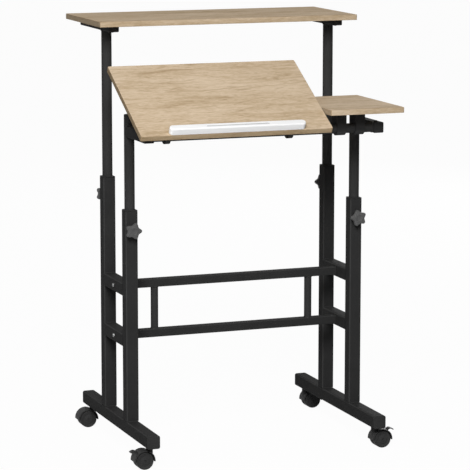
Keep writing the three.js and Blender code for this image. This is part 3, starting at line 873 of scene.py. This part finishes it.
def welds(name, body, paths):
    """Rippled weld beads; each path is (points, closed)."""
    curve = bpy.data.curves.new(name, "CURVE")
    curve.dimensions = "3D"
    curve.bevel_depth = BEAD
    curve.bevel_resolution = 2
    curve.use_fill_caps = True
    for path, closed in paths:
        points = bead(path, closed)
        spline = curve.splines.new("POLY")
        spline.points.add(len(points) - 1)
        spline.use_cyclic_u = closed
        for i, (target, point) in enumerate(zip(spline.points, points)):
            target.co = (*point, 1)
            target.radius = 1 + BEAD_RIPPLE * (1 if i % 2 else -1)
    piece = add_object(name, curve)
    curve.materials.append(STEEL)
    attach(piece, body)


def across(node, y, z):
    """Short bead along X over a square tube's flat face."""
    centre = middle(node).x
    reach = TUBE / 2 - TUBE_CORNER
    return [Vector((centre - reach, y, z)), Vector((centre + reach, y, z))], False


def circle(centre, radius, axis):
    """Closed bead round a tube."""
    turn = facing(centre, axis)
    return [turn @ point for point in ring(radius, 0, CIRCLE_POINTS)], True


frame_paths = []
for side, _ in SIDES:
    for end, way in ENDS:
        leg = f"collar_{end}_{side}"
        foot_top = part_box(f"foot_{side}")[1].z
        for face in (-1, 1):
            frame_paths.append(across(leg, corner(leg, 0, face, 0).y, foot_top))
        for level in LEVELS:
            rail = f"side_rail_{level}_{side}"
            inner = corner(leg, 0, -way, 0).y
            for face in (-1, 1):
                frame_paths.append(across(rail, inner, corner(rail, 0, 0, face).z))
    strut = f"strut_{side}"
    for end_of in (-1, 1):
        frame_paths.append(circle(corner(strut, 0, 0, end_of), size(strut).x / 2, (0, 0, 1)))
welds("frame_welds", "base_frame", frame_paths)

shelf_paths = []
for side, _ in SIDES:
    upright = f"upright_rear_{side}"
    shelf_paths.append(circle(corner(upright, 0, 0, 1), size(upright).x / 2, (0, 0, 1)))
welds("shelf_welds", "shelf_lift", shelf_paths)


def cope(side):
    """Bead over an arm's coped end, open below, where the arm comes down on the collar."""
    node = f"upright_front_{side}"
    upright = middle(node)
    radius = size(node).x / 2
    low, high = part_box(f"arm_{side}")
    back = high.y - upright.y
    reach = math.acos(-back / radius)
    arc = [
        Vector((upright.x + radius * math.sin(angle), upright.y - radius * math.cos(angle), 0))
        for angle in (reach * (i / COPE_STEPS - 1) for i in range(2 * COPE_STEPS + 1))]
    over = [Vector((point.x, point.y, high.z)) for point in arc]
    start, end = (Vector((point.x, point.y, low.z + COPE_STOP)) for point in (arc[0], arc[-1]))
    return [start] + over + [end], False


desk_paths = []
for side, sign in SIDES:
    desk_paths.append(cope(side))
    inner = corner("pivot_bar", sign, 0, 0)
    desk_paths.append(circle(inner, size("pivot_bar").z / 2, (1, 0, 0)))
welds("desk_welds", "desk_lift", desk_paths)


# Floor, light and camera

FLOOR_REACH = 40
FLOOR_COLOUR = 0.7
FLOOR_GLOW = 0.97
AMBIENT = 0.06
SEEN = ("Is Camera Ray", "Is Glossy Ray", "Is Transmission Ray")


def link_glow(tree, glow, share, base, output):
    """Mixes a glow over the base where camera, glossy or transmission rays see it."""
    path = tree.nodes.new("ShaderNodeLightPath")
    factor = path.outputs[SEEN[0]]
    for ray in SEEN[1:]:
        either = tree.nodes.new("ShaderNodeMath")
        either.operation = "MAXIMUM"
        tree.links.new(factor, either.inputs[0])
        tree.links.new(path.outputs[ray], either.inputs[1])
        factor = either.outputs["Value"]
    part = tree.nodes.new("ShaderNodeMath")
    part.operation = "MULTIPLY"
    part.inputs[1].default_value = share
    tree.links.new(factor, part.inputs[0])
    mix = tree.nodes.new("ShaderNodeMixShader")
    tree.links.new(part.outputs["Value"], mix.inputs["Fac"])
    tree.links.new(base, mix.inputs[1])
    tree.links.new(glow, mix.inputs[2])
    tree.links.new(mix.outputs["Shader"], output.inputs["Surface"])


def floor():
    """Wide pale floor, nearly white where it is seen, with the desk's soft shadow."""
    mesh = bpy.data.meshes.new("floor")
    signs = ((-1, -1), (1, -1), (1, 1), (-1, 1))
    corners = [(x * FLOOR_REACH, y * FLOOR_REACH, 0) for x, y in signs]
    mesh.from_pydata(corners, [], [(0, 1, 2, 3)])
    ground = add_object("floor", mesh)
    material = bpy.data.materials.new("floor")
    material.use_nodes = True
    tree = material.node_tree
    tree.nodes.clear()
    output = tree.nodes.new("ShaderNodeOutputMaterial")
    paint = tree.nodes.new("ShaderNodeBsdfDiffuse")
    paint.inputs["Color"].default_value = (*grey(FLOOR_COLOUR), 1)
    glow = tree.nodes.new("ShaderNodeEmission")
    link_glow(tree, glow.outputs["Emission"], FLOOR_GLOW, paint.outputs["BSDF"], output)
    mesh.materials.append(material)
    ground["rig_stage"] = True


def world():
    """Soft surroundings: plain light on surfaces, white where seen or mirrored."""
    studio = bpy.data.worlds.new("studio")
    studio.use_nodes = True
    tree = studio.node_tree
    tree.nodes.clear()
    output = tree.nodes.new("ShaderNodeOutputWorld")
    ambient = tree.nodes.new("ShaderNodeBackground")
    ambient.inputs["Color"].default_value = (*grey(AMBIENT), 1)
    white = tree.nodes.new("ShaderNodeBackground")
    white.inputs["Color"].default_value = (*grey(1), 1)
    link_glow(tree, white.outputs["Background"], 1, ambient.outputs["Background"], output)
    bpy.context.scene.world = studio


CENTRE = (0, 0, 0.7)  # the lamps are aimed at it
LAMP_REACH = 5.7
LAMPS = (  # name, azimuth and elevation in degrees, size in metres, level
    ("key", -24, 35, 2.2, 0.97),
    ("side", -85, 10, 2.4, 0.06),
    ("back", 140, 15, 2.4, 0.3))


def lamp(name, azimuth, elevation, width, level):
    """Square soft lamp; at level 1 it lights a white surface that faces it as white."""
    turn, rise = math.radians(azimuth), math.radians(elevation)
    flat = math.cos(rise)
    way = Vector((math.sin(turn) * flat, -math.cos(turn) * flat, math.sin(rise)))
    light = bpy.data.lights.new(name, "AREA")
    light.shape = "SQUARE"
    light.size = width
    light.energy = level * (math.pi * LAMP_REACH) ** 2
    holder = add_object(name, light)
    holder.location = Vector(CENTRE) + LAMP_REACH * way
    holder.rotation_euler = (-way).to_track_quat("-Z", "Y").to_euler()


floor()
world()
for settings in LAMPS:
    lamp(*settings)

CAMERA_PLACE = (-2.5660, -6.8647, 1.8316)
CAMERA_YAW = 20.534
CAMERA_PITCH = 9.4445
CAMERA_ROLL = -0.029
FOCAL_PIXELS = 2520
PHOTO_PIXELS = 470
SENSOR = 36
CLIP_END = 100

eye = bpy.data.cameras.new("camera")
eye.sensor_width = SENSOR
eye.lens = FOCAL_PIXELS / PHOTO_PIXELS * SENSOR
eye.clip_end = CLIP_END
camera = add_object("camera", eye)
camera.location = CAMERA_PLACE
camera.rotation_euler = (
    math.radians(90 - CAMERA_PITCH), math.radians(CAMERA_ROLL), math.radians(-CAMERA_YAW))
bpy.context.scene.camera = camera
bpy.context.scene.view_settings.view_transform = "Standard"

low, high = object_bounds()
